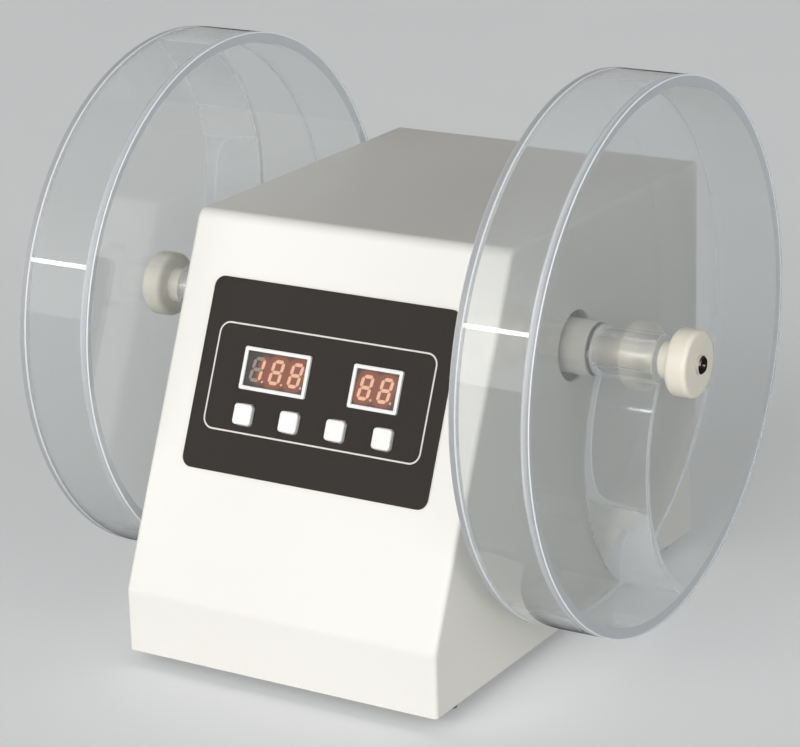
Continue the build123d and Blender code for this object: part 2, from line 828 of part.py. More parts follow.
# Drums: a back disc, a ring, a hub tube and a curved scoop, all of clear acrylic, bonded together
for name, side in sides.items():
    with BuildPart() as back_disc:
        disc(on_axis(drum_x, side=side), drum_outer_r, disc_t, hole=journal_r + running_gap)
        rims = edges().filter_by(GeomType.CIRCLE).filter_by(lambda e: e.radius > drum_inner_r)
        fillet(rims.sort_by(lambda e: abs(e.center().X))[0], acrylic_edge_r)
        for turn in (0, 180):
            with BuildSketch(on_axis(drum_x, turn, side=side)):
                with Locations((pin_track_r, 0)):
                    Circle(pin_r + pin_gap)
            extrude(amount=disc_t, mode=Mode.SUBTRACT)
    finish(back_disc, "drum_back_" + name)

    with BuildPart() as ring:
        disc(on_axis(ring_x, side=side), drum_outer_r, drum_depth, hole=drum_inner_r)
    finish(ring, "drum_ring_" + name)

    with BuildPart() as hub_tube:
        disc(on_axis(ring_x, side=side), hub_r, drum_depth, hole=journal_r + running_gap)
    finish(hub_tube, "drum_hub_" + name)

    arc_plane = Plane(
        origin=(side * ring_x, 0, axis_z),
        x_dir=(0, cos(radians(scoop_angles[name])), sin(radians(scoop_angles[name]))),
        z_dir=(1, 0, 0),
    )
    with BuildPart() as scoop:
        with BuildSketch(arc_plane):
            with Locations((scoop_centre_r, 0)):
                Circle(scoop_r + scoop_t / 2)
                Circle(scoop_r - scoop_t / 2, mode=Mode.SUBTRACT)
            Circle(drum_inner_r, mode=Mode.INTERSECT)
            Circle(hub_r, mode=Mode.SUBTRACT)
            with Locations((0, drum_outer_r)):
                Rectangle(2 * drum_outer_r, 2 * drum_outer_r, mode=Mode.SUBTRACT)
        extrude(amount=side * (drum_depth - scoop_lid_gap))
    finish(scoop, "drum_scoop_" + name)

    with BuildPart() as lid:
        disc(on_axis(lid_x, side=side), drum_outer_r, lid_t, hole=journal_r + running_gap)
        rims = edges().filter_by(GeomType.CIRCLE).filter_by(lambda e: e.radius > drum_inner_r)
        fillet(rims, acrylic_edge_r)
    finish(lid, "drum_lid_" + name)

    with BuildPart() as knob:
        disc(on_axis(knob_x, side=side), knob_boss_r, knob_boss_l)
        disc(on_axis(knob_x + knob_boss_l, side=side), knob_r, knob_grip_l)
        rims = edges().filter_by(GeomType.CIRCLE).filter_by(lambda e: e.radius > knob_r - hair)
        rims = rims.sort_by(lambda e: abs(e.center().X))
        fillet(rims[0], knob_back_r)
        rims = edges().filter_by(GeomType.CIRCLE).filter_by(lambda e: e.radius > knob_r - hair)
        rims = rims.sort_by(lambda e: abs(e.center().X))
        fillet(rims[-1], knob_front_r)
        bore(on_axis(knob_x + knob_l, side=side), thread_r + running_gap, knob_l)
    finish(knob, "knob_" + name)

# Control panel plate on the sloping face, with its openings
with BuildPart() as control_panel:
    with BuildSketch(slope_face):
        with Locations((0, panel_up)):
            RectangleRounded(panel_w, panel_h, panel_r)
        for middle, width in displays.values():
            with Locations((middle, display_up)):
                Rectangle(width + display_room, display_h + display_room, mode=Mode.SUBTRACT)
        for x in key_xs:
            with Locations((x, key_up)):
                RectangleRounded(key_hole, key_hole, key_corner_r + slot_gap, mode=Mode.SUBTRACT)
    extrude(amount=panel_t)
finish(control_panel, "control_panel")

# Display bezels, tinted windows and digit modules, one set for each of the two displays
with BuildPart() as display_bezels:
    with BuildSketch(slope_face.offset(panel_t)):
        for middle, width in displays.values():
            with Locations((middle, display_up)):
                RectangleRounded(width, display_h, bezel_corner_r)
                Rectangle(width - 2 * bezel_border, window_h, mode=Mode.SUBTRACT)
    extrude(amount=bezel_rise)
finish(display_bezels, "display_bezels")

with BuildPart() as display_windows:
    with BuildSketch(slope_face):
        for middle, width in displays.values():
            with Locations((middle, display_up)):
                Rectangle(width - 2 * bezel_border, window_h)
    extrude(amount=window_t)
finish(display_windows, "display_windows")

with BuildPart() as digit_modules:
    with BuildSketch(slope_face):
        for middle, width in displays.values():
            with Locations((middle, display_up)):
                Rectangle(width - 2 * bezel_border, window_h)
    extrude(amount=-module_deep)
finish(digit_modules, "digit_modules")

# Display board behind the sloping face, with a small switch under each key, and the spacers of both boards
board_face = slope_face.offset(-module_deep)
spacer_x = board_w / 2 - spacer_in
spacer_reach = board_h / 2 - spacer_in
spacer_places = [(x, board_up + y) for x in (-spacer_x, spacer_x) for y in (-spacer_reach, spacer_reach)]
standoff_x = control_board_w / 2 - spacer_in
standoff_reach = control_board_l / 2 - spacer_in
standoff_ys = (control_board_y - standoff_reach, control_board_y + standoff_reach)
standoff_places = [(x, y) for x in (-standoff_x, standoff_x) for y in standoff_ys]
with BuildPart() as display_board:
    with BuildSketch(board_face):
        with Locations((0, board_up)):
            Rectangle(board_w, board_h)
    extrude(amount=-board_t)
finish(display_board, "display_board")

with BuildPart() as board_spacers:
    with BuildSketch(board_face):
        with Locations(*spacer_places):
            Circle(spacer_r)
    extrude(amount=module_deep - sheet_t)
    with BuildSketch(Plane.XY.offset(base_z)):
        with Locations(*standoff_places):
            Circle(spacer_r)
    extrude(amount=standoff_h)
finish(board_spacers, "board_spacers")

with BuildPart() as key_switches:
    with BuildSketch(board_face):
        for x in key_xs:
            with Locations((x, key_up)):
                Rectangle(switch_size, switch_size)
                Circle(key_stem_r + stem_gap, mode=Mode.SUBTRACT)
    extrude(amount=switch_h)
finish(key_switches, "key_switches")

# Keys: a cap above the panel, a flange behind the steel sheet and a stem down into the switch
key_back = -(sheet_t + stem_gap + key_flange_t)
stem_end = -(module_deep - key_travel - 2 * stem_gap)
for number, x in enumerate(key_xs, start=1):
    with BuildPart() as key:
        with BuildSketch(slope_face.offset(key_back)):
            with Locations((x, key_up)):
                RectangleRounded(key_size, key_size, key_corner_r)
        extrude(amount=panel_t + key_rise - key_back)
        fillet(edges().group_by(Axis(slope_face.origin, slope_face.z_dir))[-1], key_edge_r)
        with BuildSketch(slope_face.offset(key_back)):
            with Locations((x, key_up)):
                Rectangle(key_size + 2 * key_flange, key_size + 2 * key_flange)
        extrude(amount=key_flange_t)
        with BuildSketch(slope_face.offset(key_back)):
            with Locations((x, key_up)):
                Circle(key_stem_r)
        extrude(amount=stem_end - key_back)
    finish(key, "key_" + str(number))

# Control board above the base plate, with its terminal strip, relay and capacitor
with BuildPart() as control_board:
    with BuildSketch(Plane.XY.offset(base_z + standoff_h)):
        with Locations((0, control_board_y)):
            Rectangle(control_board_w, control_board_l)
    extrude(amount=board_t)
    with BuildSketch(Plane.XY.offset(base_z + standoff_h + board_t)):
        with Locations((strip_x, control_board_y + board_part_back)):
            Rectangle(strip_w, strip_l)
        with Locations((relay_x, control_board_y + board_part_back)):
            Rectangle(relay_w, relay_l)
        with Locations((capacitor_x, control_board_y + board_part_back)):
            Circle(capacitor_r)
    extrude(amount=board_part_h)
finish(control_board, "control_board")

# Transformer: a steel core with two windows, a coil on its middle leg and a strap that holds it down
window_x = (core_leg_w + core_window_w) / 2
with BuildPart() as transformer_core:
    with BuildSketch(facing_back(transformer_y - core_l / 2, transformer_x, base_z + core_h / 2)):
        Rectangle(core_w, core_h)
        with Locations((-window_x, 0), (window_x, 0)):
            Rectangle(core_window_w, core_window_h, mode=Mode.SUBTRACT)
    extrude(amount=core_l)
finish(transformer_core, "transformer_core")

coil_z = base_z + (core_h - core_window_h) / 2 + coil_slack
with BuildPart() as transformer_coil:
    with BuildSketch(Plane(origin=(transformer_x, transformer_y, coil_z))):
        Rectangle(core_leg_w + 2 * (core_window_w - coil_slack), coil_l)
        Rectangle(core_leg_w, core_l, mode=Mode.SUBTRACT)
    extrude(amount=core_window_h - 2 * coil_slack)
finish(transformer_coil, "transformer_coil")

with BuildPart() as transformer_strap:
    with BuildSketch(facing_back(transformer_y - strap_w / 2, transformer_x, base_z)):
        with Locations((0, (core_h + strap_t) / 2)):
            Rectangle(core_w + 2 * strap_t, core_h + strap_t)
        with Locations((0, strap_t / 2)):
            Rectangle(core_w + 2 * strap_foot, strap_t)
        with Locations((0, core_h / 2)):
            Rectangle(core_w, core_h, mode=Mode.SUBTRACT)
    extrude(amount=strap_w)
    for side in sides.values():
        x = transformer_x + side * strap_screw_x
        bore(Plane(origin=(x, transformer_y, base_z + strap_t)), m4_r, strap_t)
finish(transformer_strap, "transformer_strap")

# Mains inlet with its fuse drawer, in the rear panel
inlet_face = rear_face_y + inlet_flange_t
with BuildPart() as mains_inlet:
    with BuildSketch(facing_back(rear_face_y, inlet_x, inlet_z)):
        RectangleRounded(inlet_w + 2 * inlet_flange, inlet_h + 2 * inlet_flange, inlet_corner_r)
    extrude(amount=inlet_flange_t)
    with BuildSketch(facing_back(rear_face_y, inlet_x, inlet_z)):
        Rectangle(inlet_w, inlet_h)
    extrude(amount=-inlet_deep)
    with BuildSketch(facing_back(inlet_face, inlet_x, inlet_z - recess_drop)):
        Rectangle(recess_w, recess_h)
        chamfer(vertices().group_by(Axis.Z)[-1], recess_corner)
    extrude(amount=-recess_deep, mode=Mode.SUBTRACT)
    with BuildSketch(facing_back(inlet_face, inlet_x, inlet_z + drawer_rise)):
        Rectangle(drawer_w + 2 * drawer_gap, drawer_h + 2 * drawer_gap)
    extrude(amount=-(drawer_deep + 2 * drawer_gap), mode=Mode.SUBTRACT)
finish(mains_inlet, "mains_inlet")

pin_floor = inlet_face - recess_deep
with BuildPart() as inlet_pins:
    for x, z in ((-inlet_pin_side, -inlet_pin_low), (inlet_pin_side, -inlet_pin_low), (0, inlet_pin_high)):
        with BuildSketch(facing_back(pin_floor, inlet_x - x, inlet_z - recess_drop + z)):
            Rectangle(inlet_pin_w, inlet_pin_h)
        extrude(amount=inlet_pin_l)
finish(inlet_pins, "inlet_pins")

with BuildPart() as fuse_drawer:
    with BuildSketch(facing_back(inlet_face, inlet_x, inlet_z + drawer_rise)):
        Rectangle(drawer_w, drawer_h)
    extrude(amount=-drawer_deep)
    trough_z = inlet_z + drawer_rise + drawer_floor / 2
    with BuildSketch(facing_back(inlet_face - drawer_front, inlet_x, trough_z)):
        Rectangle(fuse_l, drawer_h - drawer_floor)
    extrude(amount=-2 * (fuse_r + fuse_play), mode=Mode.SUBTRACT)
finish(fuse_drawer, "fuse_drawer")

with BuildPart() as fuse:
    fuse_y = inlet_face - drawer_front - fuse_play - fuse_r
    fuse_z = inlet_z + drawer_rise - drawer_h / 2 + drawer_floor + fuse_r
    with BuildSketch(Plane.YZ.offset(inlet_x - fuse_l / 2)):
        with Locations((fuse_y, fuse_z)):
            Circle(fuse_r)
    extrude(amount=fuse_l)
finish(fuse, "fuse")

# Power switch: a frame in the rear panel with a rocker that tips on two stubs
pivot_y = inlet_face - rocker_pivot_in
with BuildPart() as switch_frame:
    with BuildSketch(facing_back(rear_face_y, inlet_x, switch_z)):
        RectangleRounded(switch_w + 2 * switch_flange, switch_tall + 2 * switch_flange, switch_corner_r)
    extrude(amount=inlet_flange_t)
    with BuildSketch(facing_back(rear_face_y, inlet_x, switch_z)):
        Rectangle(switch_w, switch_tall)
    extrude(amount=-switch_deep)
    with BuildSketch(facing_back(inlet_face, inlet_x, switch_z)):
        Rectangle(rocker_w + 2 * slot_gap, switch_tall - 2 * switch_end)
    extrude(amount=-(rocker_pivot_in + rocker_room), mode=Mode.SUBTRACT)
    with Locations(Plane(origin=(inlet_x, pivot_y, switch_z), x_dir=(0, 1, 0), z_dir=(1, 0, 0))):
        Cylinder(stub_r + stub_gap, rocker_w + 2 * (stub_l + stub_gap), mode=Mode.SUBTRACT)
finish(switch_frame, "switch_frame")

with BuildPart() as power_rocker:
    tilt = radians(rocker_tilt)
    rocker_plane = Plane(
        origin=(inlet_x - rocker_w / 2, pivot_y, switch_z),
        x_dir=(0, cos(tilt), sin(tilt)),
        z_dir=(1, 0, 0),
    )
    with BuildSketch(rocker_plane):
        with BuildLine():
            Polyline(
                (-rocker_back, -rocker_half_h + rocker_back),
                (rocker_pivot_in + rocker_rise, -rocker_half_h),
                (rocker_pivot_in - rocker_dish, 0),
                (rocker_pivot_in + rocker_rise, rocker_half_h),
                (-rocker_back, rocker_half_h - rocker_back),
                close=True,
            )
        make_face()
    extrude(amount=rocker_w)
    with Locations(Plane(origin=(inlet_x, pivot_y, switch_z), x_dir=(0, 1, 0), z_dir=(1, 0, 0))):
        Cylinder(stub_r, rocker_w + 2 * stub_l)
finish(power_rocker, "power_rocker")
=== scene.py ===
"""Tablet friability tester: its looks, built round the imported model. Metres, +Z up, the spindle along X."""
import math

import bpy
import numpy as np
from mathutils import Matrix, Vector


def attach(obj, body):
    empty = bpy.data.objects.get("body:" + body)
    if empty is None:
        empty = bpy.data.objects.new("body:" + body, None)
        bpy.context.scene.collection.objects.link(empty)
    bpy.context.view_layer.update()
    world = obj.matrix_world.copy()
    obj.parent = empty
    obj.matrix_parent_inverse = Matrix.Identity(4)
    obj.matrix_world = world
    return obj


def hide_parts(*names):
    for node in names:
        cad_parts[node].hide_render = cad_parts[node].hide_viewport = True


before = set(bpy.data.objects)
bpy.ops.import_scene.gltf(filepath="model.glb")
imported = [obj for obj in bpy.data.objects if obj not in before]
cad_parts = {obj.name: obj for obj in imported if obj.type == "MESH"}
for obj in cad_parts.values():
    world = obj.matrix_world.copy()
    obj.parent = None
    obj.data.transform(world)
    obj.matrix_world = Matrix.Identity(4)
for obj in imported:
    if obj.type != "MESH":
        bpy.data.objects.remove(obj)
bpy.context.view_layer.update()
scene = bpy.context.scene
scene.view_settings.view_transform = "Standard"

# Camera: it looks down at the front right corner from 1.6 m with a long lens.
# The rows of axes are the camera's right, up and back, worked out from three angles. The lens and the place
# were solved from the housing's corners and the drums' rims, in pixels of an 800 pixel picture and in mm.
focal_px, picture_px, sensor_mm = 2917.9, 800, 36.0
aim, shift = np.array([0, -44.2, 8.0]), np.array([-12.35, -134.73, -1613.36])
turn, rise, lean = np.radians([31.62, 18.22, -1.55])
back = np.array([math.sin(turn) * math.cos(rise), -math.cos(turn) * math.cos(rise), math.sin(rise)])
right = np.array([math.cos(turn), math.sin(turn), 0.0])
level = np.stack([right, np.cross(back, right), back])
tip = np.array([[math.cos(lean), math.sin(lean), 0], [-math.sin(lean), math.cos(lean), 0], [0, 0, 1]])
axes = tip @ level
spot = aim - axes.T @ shift
camera = bpy.data.objects.new("camera", bpy.data.cameras.new("camera"))
scene.collection.objects.link(camera)
camera.matrix_world = Matrix.Translation(spot / 1000) @ Matrix(axes.T.tolist()).to_4x4()
camera.data.sensor_width = sensor_mm
camera.data.lens = focal_px / picture_px * sensor_mm
camera.data.clip_start, camera.data.clip_end = 0.05, 60.0
scene.camera = camera


# Studio: a wide pale floor under a dome that is dim overhead and glows softly low in front, and less on the
# right, so that clear acrylic mirrors no hard edges. One narrow lamp draws a thin line along round parts.
# Both show pale to the camera and through glass, and darker in mirrors, and the floor keeps its shadows.
def linear(hex_colour):
    """An sRGB hex colour as linear red, green, blue and alpha."""
    c = np.array([int(hex_colour[i:i + 2], 16) for i in (1, 3, 5)]) / 255
    return (*np.where(c <= 0.04045, c / 12.92, ((c + 0.055) / 1.055) ** 2.4).tolist(), 1.0)


def add(tree, kind, inputs=None, **settings):
    """Add a shader node: settings are its own values, and inputs takes values or the sockets that feed it."""
    node = tree.nodes.new("ShaderNode" + kind)
    for name, value in settings.items():
        setattr(node, name, value)
    for name, value in (inputs or {}).items():
        if isinstance(value, bpy.types.NodeSocket):
            tree.links.new(value, node.inputs[name])
        else:
            node.inputs[name].default_value = value
    return node


def start(name):
    """A new material's tree with its output node and its Object coordinates."""
    material = bpy.data.materials.new(name)
    material.use_nodes = True
    tree = material.node_tree
    tree.nodes.clear()
    return material, tree, add(tree, "OutputMaterial"), add(tree, "TexCoord").outputs["Object"]


floor_size = 14.0
floor_lift = 0.3
# each glow: its direction, its narrowness and its strength
glows = (((-0.1, -0.98, 0.15), 8.0, 4.5), ((0.93, -0.36, 0.03), 7.0, 3.0))
lamp_long, lamp_wide, lamp_watts = 2.8, 0.07, 9.5
paper, tree, out, where = start("seamless_paper")
mottle = add(tree, "TexNoise", {"Vector": where, "Scale": 3.0, "Detail": 2.0})
tone = add(tree, "MixRGB", {
    "Fac": mottle.outputs[0], "Color1": linear("#DCDEDF"), "Color2": linear("#E1E2E2"),
})
matte = add(tree, "BsdfDiffuse", {"Color": tone.outputs[0]})
path = add(tree, "LightPath")
seen = add(tree, "Math", {0: path.outputs["Is Camera Ray"], 1: path.outputs["Is Transmission Ray"]},
           operation="ADD", use_clamp=True)
lift = add(tree, "Math", {0: seen.outputs[0], 1: floor_lift}, operation="MULTIPLY")
glow = add(tree, "Emission", {"Color": tone.outputs[0], "Strength": lift.outputs[0]})
both = add(tree, "AddShader", {0: matte.outputs[0], 1: glow.outputs[0]})
mirrored = add(tree, "BsdfDiffuse", {"Color": linear("#606366")})
only_mirrored = add(tree, "Math", {0: path.outputs["Is Glossy Ray"], 1: path.outputs["Is Transmission Ray"]},
                    operation="SUBTRACT", use_clamp=True)
pick = add(tree, "MixShader", {0: only_mirrored.outputs[0], 1: both.outputs[0], 2: mirrored.outputs[0]})
tree.links.new(pick.outputs[0], out.inputs["Surface"])
floor_mesh = bpy.data.meshes.new("floor")
half = floor_size / 2
corners = [(-half, -half, 0), (half, -half, 0), (half, half, 0), (-half, half, 0)]
floor_mesh.from_pydata(corners, [], [(0, 1, 2, 3)])
floor_mesh.materials.append(paper)
floor = bpy.data.objects.new("floor", floor_mesh)
scene.collection.objects.link(floor)

world = bpy.data.worlds.new("studio")
world.use_nodes = True
scene.world = world
sky = world.node_tree
sky.nodes.clear()
path = add(sky, "LightPath")
seen = add(sky, "Math", {0: path.outputs["Is Camera Ray"], 1: path.outputs["Is Transmission Ray"]},
           operation="ADD", use_clamp=True)
toward = add(sky, "TexCoord").outputs["Generated"]
height = add(sky, "SeparateXYZ", {0: toward})
dim = add(sky, "MapRange", {"Value": height.outputs["Z"], "From Max": 0.8, "To Min": 0.42, "To Max": 0.06})
level = dim.outputs[0]
for way, narrow, strength in glows:
    facing = add(sky, "VectorMath", {0: toward, 1: Vector(way).normalized()}, operation="DOT_PRODUCT")
    ahead = add(sky, "Math", {0: facing.outputs["Value"], 1: 0.0}, operation="MAXIMUM")
    soft = add(sky, "Math", {0: ahead.outputs[0], 1: narrow}, operation="POWER")
    level = add(sky, "Math", {0: soft.outputs[0], 1: strength, 2: level}, operation="MULTIPLY_ADD").outputs[0]
dome = add(sky, "Background", {"Color": linear("#F1F1F1"), "Strength": level})
shown = add(sky, "Background", {"Color": linear("#C3C5C5"), "Strength": 1.0})
pick = add(sky, "MixShader", {0: seen.outputs[0], 1: dome.outputs[0], 2: shown.outputs[0]})
add(sky, "OutputWorld", {"Surface": pick.outputs[0]})

lamp = bpy.data.lights.new("narrow_lamp", "AREA")
lamp.shape, lamp.size, lamp.size_y, lamp.energy = "RECTANGLE", lamp_long, lamp_wide, lamp_watts
holder = bpy.data.objects.new("narrow_lamp", lamp)
scene.collection.objects.link(holder)
holder.location = (-0.5, -2.24, 1.03)
holder.rotation_euler.x = math.radians(69.0)


# Housing: 1.5 mm steel sheet, folded, welded and powder coated in a warm white.
# Powder coat flows out with a faint orange peel, about 1.5 mm from crest to crest.
def dress(material, *names):
    """Give these solids a finish."""
    for name in names:
        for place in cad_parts[name].material_slots:
            place.material = material


powder_coat, tree, out, where = start("powder_coated_steel")
peel = add(tree, "TexNoise", {"Vector": where, "Scale": 650.0, "Detail": 2.0, "Roughness": 0.4})
cloud = add(tree, "TexNoise", {"Vector": where, "Scale": 9.0, "Detail": 2.0})
tone = add(tree, "MixRGB", {
    "Fac": cloud.outputs[0], "Color1": linear("#EDEBE4"), "Color2": linear("#F3F1EB"),
})
relief = add(tree, "Bump", {"Height": peel.outputs[0], "Strength": 0.06, "Distance": 0.0003})
gloss = add(tree, "MapRange", {"Value": peel.outputs[0], "To Min": 0.38, "To Max": 0.5})
coat = add(tree, "BsdfPrincipled", {
    "Base Color": tone.outputs[0], "Roughness": gloss.outputs[0], "Normal": relief.outputs[0],
})
tree.links.new(coat.outputs[0], out.inputs["Surface"])
dress(powder_coat, "housing_shell", "rear_panel")

# Base plate and brackets: cold rolled steel with bright zinc, which shows a faint spangle of grey.
# The transformer's strap and the sensor's bracket are cut from the same sheet.
zinc_sheet, tree, out, where = start("zinc_plated_sheet")
spangle = add(tree, "TexVoronoi", {"Vector": where, "Scale": 160.0})
tone = add(tree, "MixRGB", {
    "Fac": spangle.outputs["Color"], "Color1": linear("#A9ABAD"), "Color2": linear("#B9BBBC"),
})
rub = add(tree, "MapRange", {"Value": spangle.outputs["Distance"], "To Min": 0.3, "To Max": 0.45})
skin = add(tree, "BsdfPrincipled", {
    "Base Color": tone.outputs[0], "Roughness": rub.outputs[0], "Metallic": 1.0,
})
tree.links.new(skin.outputs[0], out.inputs["Surface"])
dress(zinc_sheet, "base_plate", "motor_bracket", "sensor_bracket", "transformer_strap")

# Screws: turned and rolled steel with bright zinc, driven once, so the cross recess is scuffed dull.
bright_zinc, tree, out, where = start("zinc_plated_screw")
scuff = add(tree, "TexNoise", {"Vector": where, "Scale": 900.0, "Detail": 4.0})
rub = add(tree, "MapRange", {"Value": scuff.outputs[0], "To Min": 0.2, "To Max": 0.5})
skin = add(tree, "BsdfPrincipled", {
    "Base Color": linear("#C4C5C4"), "Roughness": rub.outputs[0], "Metallic": 1.0,
})
tree.links.new(skin.outputs[0], out.inputs["Surface"])
dress(bright_zinc, "casing_screws", "foot_screws", "frame_screws", "gearbox_screws", "grub_screws")

# Feet: moulded black rubber, matt, with the fine grain of the mould.
foot_rubber, tree, out, where = start("moulded_rubber")
grain = add(tree, "TexNoise", {"Vector": where, "Scale": 1400.0, "Detail": 3.0})
relief = add(tree, "Bump", {"Height": grain.outputs[0], "Strength": 0.25, "Distance": 0.0002})
skin = add(tree, "BsdfPrincipled", {
    "Base Color": linear("#1C1C1D"), "Roughness": 0.75, "Normal": relief.outputs[0],
    "Specular IOR Level": 0.3,
})
tree.links.new(skin.outputs[0], out.inputs["Surface"])
dress(foot_rubber, "rubber_feet")


# Drums: clear cast acrylic, IOR 1.49. Discs, rings and tubes are sawn and sanded at their edges, which makes
# those edges satin grey, and the corners of the discs are painted paler, a painted highlight along each
# corner.
# The discs are rubbed satin where the ring stands on them. Edges, corners and seats all carry a little
# painted glow, which stands in for the light that runs inside the sheet and comes out there.
# Use leaves faint dust and hair scratches on the faces, which show as a little haze.
def grid_piece(name, points, materials, wrap=(False, False), flip=False, sharp=35.0, edge=None, caps=False):
    """A grid of points in mm, rows by columns, made into quads. Wrap joins the last row or column to the
    first, edge picks the material of each strip between two columns, and caps, in the second material,
    close the first and the last row."""
    rows, columns = points.shape[:2]
    index = np.arange(rows * columns).reshape(rows, columns)
    ends = [index[0].tolist(), index[-1, ::-1].tolist()] if caps else []
    index = np.concatenate([index, index[:1]], 0) if wrap[0] else index
    index = np.concatenate([index, index[:, :1]], 1) if wrap[1] else index
    quads = np.stack([index[:-1, :-1], index[1:, :-1], index[1:, 1:], index[:-1, 1:]], -1)
    strips = np.broadcast_to(np.zeros(quads.shape[1], int) if edge is None else edge, quads.shape[:2])
    quads = quads.reshape(-1, 4)
    faces = (quads[:, ::-1] if flip else quads).tolist() + [end[::-1] if flip else end for end in ends]
    mesh = bpy.data.meshes.new(name)
    mesh.from_pydata((points.reshape(-1, 3) / 1000).tolist(), [], faces)
    mesh.polygons.foreach_set("use_smooth", np.ones(len(faces), bool))
    picks = np.append(strips.ravel(), np.ones(len(ends), int))
    mesh.polygons.foreach_set("material_index", picks.astype(np.int32))
    mesh.set_sharp_from_angle(angle=math.radians(sharp))
    for material in materials:
        mesh.materials.append(material)
    piece = bpy.data.objects.new(name, mesh)
    scene.collection.objects.link(piece)
    return piece


axis_z = 167.5


def turned(name, profile, side, materials, steps=256):
    """A closed profile of (x, radius) in mm carried round the spindle: y = r cos t, z = axis + r sin t.
    The third number of each point picks the material of the strip that starts there."""
    x, r, edge = np.array(profile, float).T
    t = np.linspace(0, 2 * math.pi, steps, endpoint=False)
    points = np.empty((steps, len(x), 3))
    points[..., 0] = x * side
    points[..., 1] = r * np.cos(t)[:, None]
    points[..., 2] = axis_z + r * np.sin(t)[:, None]
    return grid_piece(name, points, materials, wrap=(True, True), flip=side < 0, edge=edge.astype(int))


def let_light_through(tree, out, shader, tint):
    """Use this shader, but tint the light of shadow rays and let it pass, as clear plastic does."""
    clear = add(tree, "BsdfTransparent", {"Color": linear(tint)})
    path = add(tree, "LightPath")
    pick = add(tree, "MixShader", {
        0: path.outputs["Is Shadow Ray"], 1: shader.outputs[0], 2: clear.outputs[0],
    })
    tree.links.new(pick.outputs[0], out.inputs["Surface"])


clear_face, tree, out, where = start("clear_cast_acrylic")
haze = add(tree, "TexNoise", {"Vector": where, "Scale": 60.0, "Detail": 5.0, "Roughness": 0.6})
rub = add(tree, "MapRange", {"Value": haze.outputs[0], "To Min": 0.0, "To Max": 0.05})
glass = add(tree, "BsdfPrincipled", {
    "Base Color": linear("#FAFBFB"), "Roughness": rub.outputs[0], "IOR": 1.49, "Transmission Weight": 0.98,
})
let_light_through(tree, out, glass, "#FAFAFA")

acrylic = [clear_face]
# each finish: grain, two tones, roughness, light let through and painted glow; the corner's paler tones are a
# painted highlight
for finish, grain_size, dark, light, rough, through, painted_glow in (
    ("sanded_acrylic_edge", 500.0, "#C4C8CB", "#D4D7D9", 0.38, 0.6, 0.15),
    ("painted_highlight_acrylic_corner", 300.0, "#E2E5E7", "#F2F3F4", 0.35, 0.25, 0.25),
    ("rubbed_acrylic_seat", 500.0, "#BFC3C6", "#CDD0D2", 0.5, 0.3, 0.12),
):
    satin_acrylic, tree, out, where = start(finish)
    scratch = add(tree, "TexNoise", {"Vector": where, "Scale": grain_size, "Detail": 3.0})
    tone = add(tree, "MixRGB", {"Fac": scratch.outputs[0], "Color1": linear(dark), "Color2": linear(light)})
    rub = add(tree, "MapRange", {"Value": scratch.outputs[0], "To Min": rough - 0.08, "To Max": rough + 0.08})
    satin = add(tree, "BsdfPrincipled", {
        "Base Color": tone.outputs[0], "Roughness": rub.outputs[0], "IOR": 1.49,
        "Transmission Weight": through, "Emission Color": linear("#E9EBED"), "Emission Strength": painted_glow,
    })
    let_light_through(tree, out, satin, light)
    acrylic.append(satin_acrylic)

drum_x, ring_x, lid_x, knob_x = 109.5, 113.5, 150.5, 154.5
outer_r, inner_r, hub_r, bore_r = 148.5, 142.5, 13.5, 7.55
bevel, thin = 0.5, 0.03
polished, sanded, highlit_corner, rubbed = range(4)
for side_name, side in (("right", 1), ("left", -1)):
    for name, node, low_r, high_r, low_x, high_x in (
        ("back_disc", "drum_back", bore_r, outer_r, drum_x, ring_x - thin),
        ("ring_wall", "drum_ring", inner_r, outer_r, ring_x + thin, lid_x - thin),
        ("hub_tube", "drum_hub", bore_r, hub_r, ring_x + thin, lid_x - thin),
        ("lid_disc", "drum_lid", bore_r, outer_r, lid_x + thin, knob_x),
    ):
        # a disc is clear on its flat sides and sanded round its edge, a ring or tube the other way round
        disc = name.endswith("disc")
        face, rim, corner = (polished, sanded, highlit_corner) if disc else (sanded, polished, sanded)
        outline = [
            (low_x, low_r, face), (low_x, high_r - bevel, corner), (low_x + bevel, high_r, rim),
            (high_x - bevel, high_r, corner), (high_x, high_r - bevel, face), (high_x, low_r, rim),
        ]
        if name == "back_disc":
            outline[4:] = [
                (high_x, high_r - bevel, rubbed), (high_x, inner_r, polished), (high_x, low_r, sanded),
            ]
        elif name == "lid_disc":
            outline[:1] = [(low_x, low_r, polished), (low_x, inner_r, rubbed)]
        piece = turned(name + "_" + side_name, outline, side, acrylic)
        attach(piece, ("lid_" if node == "drum_lid" else "drum_") + side_name)
        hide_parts(node + "_" + side_name)

